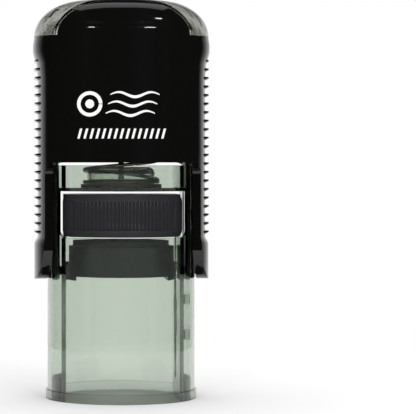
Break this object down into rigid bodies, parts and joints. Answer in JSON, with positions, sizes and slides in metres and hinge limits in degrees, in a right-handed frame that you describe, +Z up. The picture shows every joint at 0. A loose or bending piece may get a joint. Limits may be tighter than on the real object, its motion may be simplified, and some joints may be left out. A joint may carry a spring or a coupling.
{
  "type": "self-inking hand stamp",
  "caption": "Round self-inking hand stamp: black press-down housing with clear index window over a clear round base, turning die and slide-out ink cartridge.",
  "frame": {"origin": "centre of the base's footprint, on the paper plane", "axes": "+Z up, the ribbed front of the ink cartridge faces -Y, +X to the right seen from the front"},
  "size_m": [0.0312, 0.029, 0.0696],
  "materials": {
    "clear_green_plastic": "clear smoke-green moulded plastic, polished",
    "black_gloss_plastic": "piano-black moulded plastic, polished",
    "black_plastic": "black moulded plastic, satin",
    "clear_plastic": "colourless clear moulded plastic, polished",
    "card": "white card, uncoated",
    "spring_steel": "drawn spring wire",
    "dark_rubber": "moulded rubber, matte",
    "die_rubber": "dark laser-cut stamp rubber, matte",
    "foam": "black closed-cell foam tape",
    "ink_felt": "felt soaked in red ink"
  },
  "bodies": {
    "base": {"base_frame": "clear_green_plastic", "bumper_left": "dark_rubber", "bumper_right": "dark_rubber", "spring_seat": "black_plastic", "spring_guide": "clear_green_plastic", "return_spring": "spring_steel"},
    "cap": {"housing": "black_gloss_plastic", "press_yoke": "black_plastic", "index_card": "card"},
    "window": {"index_window": "clear_plastic"},
    "die": {"die_carriage": "black_plastic", "die_plate": "black_plastic", "foam_tape": "foam", "rubber_die": "die_rubber"},
    "cartridge": {"cartridge_tray": "black_plastic", "ink_felt": "ink_felt", "pad_cloth": "ink_felt"}
  },
  "joints": [
    {"name": "cap_press", "type": "slide", "parent": "base", "child": "cap", "axis": [0, 0, -1], "range_m": [0, 0.0171], "stiffness_N_per_m": 800, "springref_m": -0.008, "deforming": ["return_spring"]},
    {"name": "die_flip", "type": "hinge", "parent": "cap", "child": "die", "pos_m": [0, 0, 0.0224], "axis": [1, 0, 0], "range_deg": [0, 180]},
    {"name": "cartridge_pull", "type": "slide", "parent": "base", "child": "cartridge", "axis": [0, -1, 0], "range_m": [0, 0.028]},
    {"name": "window_lift", "type": "slide", "parent": "cap", "child": "window", "axis": [0, 0, 1], "range_m": [0, 0.012]}
  ],
  "couplings": [
    {"joint": "die_flip", "follows": "cap_press", "rad_per_m": 183.71}
  ]
}
